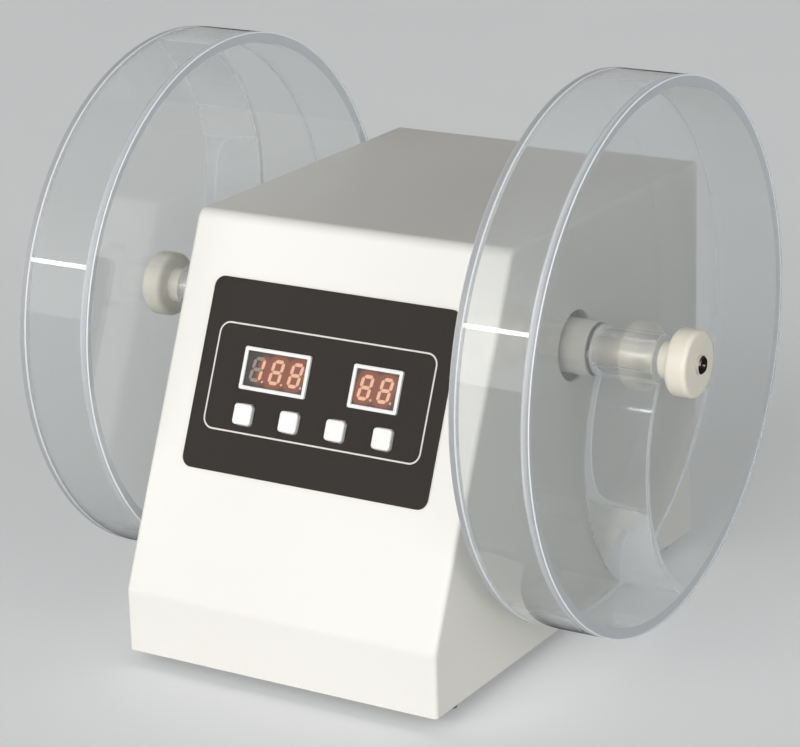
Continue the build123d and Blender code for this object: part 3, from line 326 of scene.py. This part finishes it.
# Scoops: a strip of 4 mm acrylic bent to a radius of 95 mm, bonded in each drum from the hub to the ring.
# Its flat sides are sanded. A closed section is carried along the arc c + r (cos f, sin f), where f runs from
# the ring to the hub and comes from the law of cosines for each radius r.
for side_name, side, set_at in (("right", 1, -38.0), ("left", -1, 136.0)):
    far, near, half_thick, clear_by, soft = 99.0, 95.0, 2.0, 0.12, 0.4
    first_x, last_x = ring_x + clear_by, lid_x - 0.3
    x = np.array([
        first_x + soft, last_x - soft, last_x, last_x, last_x - soft, first_x + soft, first_x, first_x,
    ])
    flat_r, corner_r = half_thick, half_thick - soft
    r = near + np.array([flat_r, flat_r, corner_r, -corner_r, -flat_r, -flat_r, -corner_r, corner_r])
    ring_end = -np.arccos(((inner_r - clear_by) ** 2 - far ** 2 - r ** 2) / (2 * far * r))
    hub_end = -np.arccos(((hub_r + clear_by) ** 2 - far ** 2 - r ** 2) / (2 * far * r))
    f = ring_end + (hub_end - ring_end) * np.linspace(0, 1, 72)[:, None]
    across, up = far + r * np.cos(f), r * np.sin(f)
    a = math.radians(set_at)
    points = np.stack([
        np.broadcast_to(x * side, f.shape), across * math.cos(a) - up * math.sin(a),
        axis_z + across * math.sin(a) + up * math.cos(a),
    ], -1)
    scoop = grid_piece("scoop_strip_" + side_name, points, acrylic, wrap=(False, True), flip=side < 0,
                       edge=np.array([polished, *[sanded] * 3] * 2), caps=True)
    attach(scoop, "drum_" + side_name)
    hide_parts("drum_scoop_" + side_name)

# Knobs: turned from ivory nylon, satin, with a trace of light soaking into the edge.
ivory, tree, out, where = start("turned_ivory_nylon")
lathe = add(tree, "TexWave", {
    "Vector": where, "Scale": 220.0, "Distortion": 0.6, "Detail": 2.0,
}, bands_direction="X")
cloud = add(tree, "TexNoise", {"Vector": where, "Scale": 40.0, "Detail": 2.0})
tone = add(tree, "MixRGB", {
    "Fac": cloud.outputs[0], "Color1": linear("#F1EBDA"), "Color2": linear("#F8F3E5"),
})
relief = add(tree, "Bump", {"Height": lathe.outputs["Fac"], "Strength": 0.05, "Distance": 0.0001})
skin = add(tree, "BsdfPrincipled", {
    "Base Color": tone.outputs[0], "Roughness": 0.38, "Normal": relief.outputs[0], "Subsurface Weight": 0.15,
    "Subsurface Radius": (0.003, 0.002, 0.001), "Subsurface Scale": 1.0,
})
tree.links.new(skin.outputs[0], out.inputs["Surface"])
dress(ivory, "knob_left", "knob_right")

# Spindle and bearings: ground stainless steel, with fine rings from the lathe round the axis.
# The spindle's threaded ends are a darker metal, nearly mirror smooth, with light only in the glints.
ground_steel, tree, out, where = start("ground_stainless_steel")
rings = add(tree, "Mapping", {"Vector": where, "Scale": (2600.0, 40.0, 40.0)})
fine = add(tree, "TexNoise", {"Vector": rings.outputs[0], "Scale": 1.0, "Detail": 2.0})
rub = add(tree, "MapRange", {"Value": fine.outputs[0], "To Min": 0.24, "To Max": 0.36})
tone = add(tree, "MixRGB", {"Fac": fine.outputs[0], "Color1": linear("#DAD4C8"), "Color2": linear("#E6E1D7")})
round_axis = add(tree, "Tangent", direction_type="RADIAL", axis="X")
skin = add(tree, "BsdfPrincipled", {
    "Base Color": tone.outputs[0], "Roughness": rub.outputs[0], "Metallic": 0.6, "Anisotropic": 0.85,
    "Tangent": round_axis.outputs[0],
})
tree.links.new(skin.outputs[0], out.inputs["Surface"])
dress(ground_steel, "spindle_shaft", "drive_pins", "bearing_inner_rings", "bearing_outer_rings",
      "bearing_balls", "motor_shaft")
darker_end_metal, tree, out, where = start("darker_thread_metal")
rings = add(tree, "Mapping", {"Vector": where, "Scale": (1500.0, 60.0, 60.0)})
fine = add(tree, "TexNoise", {"Vector": rings.outputs[0], "Scale": 1.0, "Detail": 2.0})
rub = add(tree, "MapRange", {"Value": fine.outputs[0], "To Min": 0.12, "To Max": 0.25})
skin = add(tree, "BsdfPrincipled", {
    "Base Color": linear("#6E685F"), "Roughness": rub.outputs[0], "Metallic": 1.0,
})
tree.links.new(skin.outputs[0], out.inputs["Surface"])
thread_x = 0.1735
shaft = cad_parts["spindle_shaft"].data
shaft.materials.append(darker_end_metal)
middle = np.empty(len(shaft.polygons) * 3, np.float32)
shaft.polygons.foreach_get("center", middle)
ends_of_shaft = (np.abs(middle[::3]) > thread_x).astype(np.int32)
shaft.polygons.foreach_set("material_index", ends_of_shaft * (len(shaft.materials) - 1))

# Drive collars: free cutting steel under satin nickel, blasted first, so the light spreads. The near white
# colour is a painted sheen, where the collars mirror a lamp.
nickel_with_painted_sheen, tree, out, where = start("nickel_plate_painted_sheen")
blast = add(tree, "TexNoise", {"Vector": where, "Scale": 1100.0, "Detail": 3.0})
relief = add(tree, "Bump", {"Height": blast.outputs[0], "Strength": 0.15, "Distance": 0.0001})
round_axis = add(tree, "Tangent", direction_type="RADIAL", axis="X")
skin = add(tree, "BsdfPrincipled", {
    "Base Color": linear("#F2EFE8"), "Roughness": 0.28, "Metallic": 0.3, "Normal": relief.outputs[0],
    "Anisotropic": 0.8, "Tangent": round_axis.outputs[0],
})
tree.links.new(skin.outputs[0], out.inputs["Surface"])
dress(nickel_with_painted_sheen, "drive_collar_left", "drive_collar_right")

# Control panel: a printed film on a 1 mm plate, dark charcoal with a velvet grain.
panel_film, tree, out, where = start("printed_panel_film")
velvet = add(tree, "TexNoise", {"Vector": where, "Scale": 1500.0, "Detail": 2.0})
tone = add(tree, "MixRGB", {
    "Fac": velvet.outputs[0], "Color1": linear("#2B2723"), "Color2": linear("#36312D"),
})
relief = add(tree, "Bump", {"Height": velvet.outputs[0], "Strength": 0.12, "Distance": 0.0001})
skin = add(tree, "BsdfPrincipled", {
    "Base Color": tone.outputs[0], "Roughness": 0.6, "Normal": relief.outputs[0], "Specular IOR Level": 0.2,
})
tree.links.new(skin.outputs[0], out.inputs["Surface"])
dress(panel_film, "control_panel")


# Outline printed on the panel in white ink: a line 0.9 mm wide on a rounded rectangle.
fold_y, fold_z, slope = -144.0, 43.0, math.atan2(191.5, 84.0)
display_up, panel_face = 128.2, 1.0


def on_slope(x, up, out_of):
    """Points on the sloping face in mm: x across, up the slope from the front fold, out of the surface."""
    x, up, out_of = np.broadcast_arrays(x, up, out_of)
    y = fold_y + up * math.cos(slope) - out_of * math.sin(slope)
    z = fold_z + up * math.sin(slope) + out_of * math.cos(slope)
    return np.stack([x, y, z], -1)


def framed(name, centre, size, radius, profile, materials):
    """A closed profile of (outward, out of the surface) carried round a rounded rectangle on the slope: each
    corner is centre + r (cos t, sin t), and r grows and shrinks with the outward distance."""
    t = np.arange(4)[:, None] * math.pi / 2 + np.linspace(0, math.pi / 2, 9)
    way = np.stack([np.cos(t), np.sin(t)], -1)[:, :, None]
    outward, height = np.array(profile, float).T
    r = np.maximum(radius + outward, 0.2)[:, None]
    signs = np.array([[1, 1], [-1, 1], [-1, -1], [1, -1]])[:, None, None]
    corner = signs * (np.array(size) / 2 + outward[:, None] - r)
    flat = (corner + r * way).reshape(-1, len(outward), 2)
    points = on_slope(centre[0] + flat[..., 0], centre[1] + flat[..., 1], height)
    return grid_piece(name, points, materials, wrap=(True, True))


white_ink, tree, out, where = start("white_screen_ink")
speck = add(tree, "TexNoise", {"Vector": where, "Scale": 900.0, "Detail": 3.0})
tone = add(tree, "MixRGB", {
    "Fac": speck.outputs[0], "Color1": linear("#D3D2CC"), "Color2": linear("#E4E3DE"),
})
skin = add(tree, "BsdfPrincipled", {"Base Color": tone.outputs[0], "Roughness": 0.5})
tree.links.new(skin.outputs[0], out.inputs["Surface"])
ink_low, ink_high, half_line = panel_face + 0.01, panel_face + 0.06, 0.45
outline_middle, outline_size, outline_corner = (0.0, 122.2), (134.0, 57.5), 6.0
outline = framed("panel_outline", outline_middle, outline_size, outline_corner, [
    (-half_line, ink_low), (half_line, ink_low), (half_line, ink_high), (-half_line, ink_high),
], (white_ink,))
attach(outline, "root")

# Bezels and keys: moulded white ABS, satin. The bezels' edges are rounded to 0.5 mm, and they are pressed
# into the panel round each display; the keys stand in square holes.
white_abs, tree, out, where = start("moulded_white_abs")
grain = add(tree, "TexNoise", {"Vector": where, "Scale": 1800.0, "Detail": 2.0})
relief = add(tree, "Bump", {"Height": grain.outputs[0], "Strength": 0.08, "Distance": 0.0001})
cloud = add(tree, "TexNoise", {"Vector": where, "Scale": 60.0, "Detail": 2.0})
tone = add(tree, "MixRGB", {
    "Fac": cloud.outputs[0], "Color1": linear("#F0F0EE"), "Color2": linear("#F6F6F4"),
})
skin = add(tree, "BsdfPrincipled", {
    "Base Color": tone.outputs[0], "Roughness": 0.35, "Normal": relief.outputs[0],
})
tree.links.new(skin.outputs[0], out.inputs["Surface"])
dress(white_abs, "key_1", "key_2", "key_3", "key_4")
# each display: its middle across, its window's width, its digits' offset from its middle, and what is lit
displays = {
    "count": (-27.8, 37.0, 0.1, ("bc", "abcdefg", "abcdefg")),
    "timer": (34.3, 25.6, -0.7, ("abcdefg", "abcdefg")),
}
bezel_wall, bezel_h, bezel_corner, bezel_foot = 2.2, 23.2, 1.2, panel_face + 0.02
for display, (middle, width, _, _) in displays.items():
    bezel_size = (width + 2 * bezel_wall, bezel_h)
    bezel = framed("bezel_" + display, (middle, display_up), bezel_size, bezel_corner, [
        (0.0, bezel_foot), (0.0, 2.0), (-0.15, 2.35), (-0.5, 2.5),
        (-1.7, 2.5), (-2.05, 2.35), (-2.18, 2.0), (-2.18, bezel_foot),
    ], (white_abs,))
    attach(bezel, "root")
    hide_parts("display_bezels")

# Display windows: thin, faintly smoked acrylic over the modules, with a satin face.
window_acrylic, tree, out, where = start("smoked_window_acrylic")
cloud = add(tree, "TexNoise", {"Vector": where, "Scale": 300.0, "Detail": 2.0})
rub = add(tree, "MapRange", {"Value": cloud.outputs[0], "To Min": 0.04, "To Max": 0.1})
glass = add(tree, "BsdfPrincipled", {
    "Base Color": linear("#EDE6E0"), "Roughness": rub.outputs[0], "IOR": 1.49, "Transmission Weight": 1.0,
})
let_light_through(tree, out, glass, "#EDE6E0")
dress(window_acrylic, "display_windows")

# Digit modules: grey moulded cases with seven segments and a point each, 13.6 mm high, on a pitch of 12 mm.
# Lit segments glow orange, and their glow is painted on the face round them as an orange tint and a faint
# painted light; the rest stay pale grey.
module_face, tree, out, where = start("digit_module_face")
speck = add(tree, "TexNoise", {"Vector": where, "Scale": 1200.0, "Detail": 2.0})
tone = add(tree, "MixRGB", {
    "Fac": speck.outputs[0], "Color1": linear("#343432"), "Color2": linear("#40403D"),
})
halo = add(tree, "Attribute", attribute_name="halo")
warm = add(tree, "MixRGB", {
    "Fac": halo.outputs["Fac"], "Color1": tone.outputs[0], "Color2": linear("#95593C"),
})
shine = add(tree, "Math", {0: halo.outputs["Fac"], 1: 0.17}, operation="MULTIPLY")
skin = add(tree, "BsdfPrincipled", {
    "Base Color": warm.outputs[0], "Roughness": 0.6, "Emission Color": linear("#AE5C36"),
    "Emission Strength": shine.outputs[0],
})
tree.links.new(skin.outputs[0], out.inputs["Surface"])
lit_segment, tree, out, where = start("lit_segment")
speck = add(tree, "TexNoise", {"Vector": where, "Scale": 700.0, "Detail": 2.0})
tone = add(tree, "MixRGB", {
    "Fac": speck.outputs[0], "Color1": linear("#F6BF9E"), "Color2": linear("#FFD0B2"),
})
skin = add(tree, "BsdfPrincipled", {
    "Base Color": linear("#6B4534"), "Roughness": 0.5, "Emission Color": tone.outputs[0],
    "Emission Strength": 0.85,
})
tree.links.new(skin.outputs[0], out.inputs["Surface"])
dark_segment, tree, out, where = start("unlit_segment")
speck = add(tree, "TexNoise", {"Vector": where, "Scale": 700.0, "Detail": 2.0})
tone = add(tree, "MixRGB", {
    "Fac": speck.outputs[0], "Color1": linear("#B3AE9E"), "Color2": linear("#C2BDAD"),
})
skin = add(tree, "BsdfPrincipled", {"Base Color": tone.outputs[0], "Roughness": 0.5})
tree.links.new(skin.outputs[0], out.inputs["Surface"])

digit_h, digit_w, stroke, pitch, slant = 13.6, 7.6, 1.9, 12.0, math.radians(9)
face_lift, bar_low, bar_high, point_size, module_half_h, halo_area = 0.02, 0.05, 0.17, 1.4, 9.4, 7.0
ends = {
    "a": ((-1, 1), (1, 1)), "b": ((1, 1), (1, 0)), "c": ((1, 0), (1, -1)), "d": ((-1, -1), (1, -1)),
    "e": ((-1, 0), (-1, -1)), "f": ((-1, 1), (-1, 0)), "g": ((-1, 0), (1, 0)),
}


def bars(name, places, wide, material):
    """Six sided bars between pairs of points: a hexagon along each bar, 0.12 mm high with sloping sides."""
    start_at, end_at = np.array(places, float).transpose(1, 0, 2)
    along = end_at - start_at
    along /= np.linalg.norm(along, axis=1)[:, None]
    across = np.stack([-along[:, 1], along[:, 0]], -1)
    first, last, point = start_at + along * 0.2, end_at - along * 0.2, along * wide / 2
    ring = []
    for grow in (0.0, bar_low - bar_high):
        w = across * (wide / 2 + grow)
        ring += [first - along * grow, first + point + w, last - point + w,
                 last + along * grow, last - point - w, first + point - w]
    flat = np.stack(ring, 1)
    flat[..., 0] += np.tan(slant) * (flat[..., 1] - display_up)
    points = on_slope(flat[..., 0], flat[..., 1], np.repeat([bar_low, bar_high], 6))
    k = np.arange(6)
    sides_of = np.stack([k, (k + 1) % 6, (k + 1) % 6 + 6, k + 6], -1)
    faces = [list(f + 12 * n) for n in range(len(points)) for f in (*sides_of[:, ::-1], k[::-1] + 6, k)]
    mesh = bpy.data.meshes.new(name)
    mesh.from_pydata((points.reshape(-1, 3) / 1000).tolist(), [], faces)
    mesh.materials.append(material)
    piece = bpy.data.objects.new(name, mesh)
    scene.collection.objects.link(piece)
    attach(piece, "root")


reach = np.array([(digit_w - stroke) / 2, (digit_h - stroke) / 2])
for display, (middle, width, off_centre, shown_digits) in displays.items():
    lit, unlit, dots = [], [], []
    for n, on in enumerate(shown_digits):
        centre = np.array([middle + (n - (len(shown_digits) - 1) / 2) * pitch + off_centre, display_up])
        for letter, pair in ends.items():
            (lit if letter in on else unlit).append([centre + reach * end for end in pair])
        dots.append([centre + (x, -digit_h / 2 + 0.7) for x in (4.2, 6.2)])
    bars("lit_bars_" + display, lit, stroke, lit_segment)
    bars("points_" + display, dots, point_size, lit_segment)
    if unlit:
        bars("unlit_bars_" + display, unlit, stroke, dark_segment)
    # the face between the segments, with a painted glow as a sum of soft spots along each lit bar
    cols, rows = np.meshgrid(np.linspace(-width / 2, width / 2, 75),
                             np.linspace(-module_half_h, module_half_h, 39), indexing="ij")
    spots = np.concatenate([np.linspace(p, q, 5) for p, q in lit])
    leaned = cols + middle - np.tan(slant) * rows
    apart = (leaned[..., None] - spots[:, 0]) ** 2 + (rows[..., None] + display_up - spots[:, 1]) ** 2
    halo_share = np.clip(np.exp(-apart / halo_area).sum(-1) * 0.6, 0, 1)
    face_points = on_slope(cols + middle, rows + display_up, face_lift)
    face = grid_piece("module_face_" + display, face_points, (module_face,))
    halo_layer = face.data.attributes.new("halo", "FLOAT", "POINT")
    halo_layer.data.foreach_set("value", halo_share.ravel().astype(np.float32))
    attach(face, "root")

# Plain moulded plastic: digit cases, key switches, sensor, inlet, switch and rocker in black.
black_plastic, tree, out, where = start("moulded_black_plastic")
grain = add(tree, "TexNoise", {"Vector": where, "Scale": 1500.0, "Detail": 3.0})
relief = add(tree, "Bump", {"Height": grain.outputs[0], "Strength": 0.2, "Distance": 0.0001})
rub = add(tree, "MapRange", {"Value": grain.outputs[0], "To Min": 0.42, "To Max": 0.6})
skin = add(tree, "BsdfPrincipled", {
    "Base Color": linear("#202022"), "Roughness": rub.outputs[0], "Normal": relief.outputs[0],
})
tree.links.new(skin.outputs[0], out.inputs["Surface"])
dress(black_plastic, "digit_modules", "key_switches", "light_sensor", "mains_inlet", "fuse_drawer",
      "switch_frame", "power_rocker", "counter_disc")

# Marks on the rocker: a bar and a ring in white ink, 0.06 mm thick, one in the middle of each half of its
# dished face. Each half rises 2.3 mm in 7.8 mm from the middle, and the rocker rests tipped by 10 degrees.
pivot, tipped, ink_t = np.array([55.0, 142.3, 105.0]), math.radians(10.0), 0.06
off_pivot, off_middle, half_rise = 3.65, 3.9, math.atan2(2.3, 7.8)
t = np.linspace(0, 2 * math.pi, 48, endpoint=False)[:, None]
r = np.array([1.2, 1.9, 1.9, 1.2])
ring_flat, ring_up = np.stack([r * np.cos(t), r * np.sin(t)], -1), np.array([[0, 0, ink_t, ink_t]])
bar_flat = np.array([[[-0.4, -1.8], [0.4, -1.8], [0.4, 1.8], [-0.4, 1.8]]] * 2)
bar_up = np.array([[0], [ink_t]])
for mark, half, flat, height in (("mark_bar", 1, bar_flat, bar_up), ("mark_ring", -1, ring_flat, ring_up)):
    out_of_body = np.array([0.0, math.cos(tipped), math.sin(tipped)])
    up_body = np.array([0.0, -math.sin(tipped), math.cos(tipped)])
    facing_up = tipped - half * half_rise
    along = np.array([0.0, -math.sin(facing_up), math.cos(facing_up)])
    out_of = np.array([0.0, math.cos(facing_up), math.sin(facing_up)])
    points = pivot + off_pivot * out_of_body + half * off_middle * up_body
    points = points + flat[..., :1] * [1, 0, 0] + flat[..., 1:] * along + height[..., None] * out_of
    printed = grid_piece(mark, points, (white_ink, white_ink), wrap=(half < 0, True), flip=half < 0,
                         caps=half > 0)
    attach(printed, "power_rocker")

# Boards: glass epoxy under green solder mask, glossy, with a faint weave.
green_board, tree, out, where = start("solder_masked_board")
weave = add(tree, "TexNoise", {"Vector": where, "Scale": 800.0, "Detail": 1.0})
tone = add(tree, "MixRGB", {
    "Fac": weave.outputs[0], "Color1": linear("#17512F"), "Color2": linear("#216640"),
})
skin = add(tree, "BsdfPrincipled", {"Base Color": tone.outputs[0], "Roughness": 0.3})
tree.links.new(skin.outputs[0], out.inputs["Surface"])
dress(green_board, "display_board", "control_board")

# Brass: plated spacers and the inlet's pins, turned or stamped, slightly dulled.
dull_brass, tree, out, where = start("plated_brass")
stain = add(tree, "TexNoise", {"Vector": where, "Scale": 300.0, "Detail": 3.0})
tone = add(tree, "MixRGB", {
    "Fac": stain.outputs[0], "Color1": linear("#B99A55"), "Color2": linear("#CDB06A"),
})
skin = add(tree, "BsdfPrincipled", {"Base Color": tone.outputs[0], "Roughness": 0.32, "Metallic": 1.0})
tree.links.new(skin.outputs[0], out.inputs["Surface"])
dress(dull_brass, "board_spacers", "inlet_pins")

# Stands: milled aluminium, black anodised, with the straight marks of the cutter left in the sheen.
black_anodised, tree, out, where = start("black_anodised_aluminium")
marks = add(tree, "Mapping", {"Vector": where, "Scale": (60.0, 60.0, 1500.0)})
fine = add(tree, "TexNoise", {"Vector": marks.outputs[0], "Scale": 1.0, "Detail": 2.0})
rub = add(tree, "MapRange", {"Value": fine.outputs[0], "To Min": 0.4, "To Max": 0.6})
skin = add(tree, "BsdfPrincipled", {"Base Color": linear("#1B1B1D"), "Roughness": rub.outputs[0]})
tree.links.new(skin.outputs[0], out.inputs["Surface"])
dress(black_anodised, "bearing_stand_left", "bearing_stand_right")

# Motor, gearbox and pinion: drawn steel cans and hobbed steel, plated dull grey.
motor_plate, tree, out, where = start("drawn_plated_steel")
fine = add(tree, "TexNoise", {"Vector": where, "Scale": 500.0, "Detail": 3.0})
rub = add(tree, "MapRange", {"Value": fine.outputs[0], "To Min": 0.3, "To Max": 0.5})
skin = add(tree, "BsdfPrincipled", {
    "Base Color": linear("#A3A5A6"), "Roughness": rub.outputs[0], "Metallic": 1.0,
})
tree.links.new(skin.outputs[0], out.inputs["Surface"])
dress(motor_plate, "gearbox_case", "motor_can", "motor_pinion")

# Drive gear: machined nylon, off white, with the faint marks of the hob.
gear_nylon, tree, out, where = start("machined_nylon")
fine = add(tree, "TexNoise", {"Vector": where, "Scale": 400.0, "Detail": 2.0})
tone = add(tree, "MixRGB", {"Fac": fine.outputs[0], "Color1": linear("#E2DFD2"), "Color2": linear("#ECE9DE")})
skin = add(tree, "BsdfPrincipled", {"Base Color": tone.outputs[0], "Roughness": 0.5})
tree.links.new(skin.outputs[0], out.inputs["Surface"])
dress(gear_nylon, "drive_gear")

# Transformer: a stack of 0.5 mm steel sheets, and a coil wrapped in yellow tape.
core_sheets, tree, out, where = start("laminated_core")
sheets = add(tree, "TexWave", {"Vector": where, "Scale": 300.0}, bands_direction="Y")
tone = add(tree, "MixRGB", {
    "Fac": sheets.outputs["Fac"], "Color1": linear("#4A4A4C"), "Color2": linear("#606163"),
})
skin = add(tree, "BsdfPrincipled", {"Base Color": tone.outputs[0], "Roughness": 0.5, "Metallic": 0.8})
tree.links.new(skin.outputs[0], out.inputs["Surface"])
dress(core_sheets, "transformer_core")
coil_tape, tree, out, where = start("polyester_tape")
wraps = add(tree, "TexWave", {"Vector": where, "Scale": 60.0}, bands_direction="Z")
tone = add(tree, "MixRGB", {
    "Fac": wraps.outputs["Fac"], "Color1": linear("#D9B33A"), "Color2": linear("#E3C255"),
})
skin = add(tree, "BsdfPrincipled", {"Base Color": tone.outputs[0], "Roughness": 0.35})
tree.links.new(skin.outputs[0], out.inputs["Surface"])
dress(coil_tape, "transformer_coil")

# Fuse: a clear glass tube, seen only when its drawer is out.
fuse_glass, tree, out, where = start("fuse_glass")
cloud = add(tree, "TexNoise", {"Vector": where, "Scale": 200.0, "Detail": 2.0})
rub = add(tree, "MapRange", {"Value": cloud.outputs[0], "To Min": 0.0, "To Max": 0.08})
skin = add(tree, "BsdfPrincipled", {
    "Base Color": linear("#E9EFEF"), "Roughness": rub.outputs[0], "IOR": 1.5, "Transmission Weight": 1.0,
})
tree.links.new(skin.outputs[0], out.inputs["Surface"])
dress(fuse_glass, "fuse")
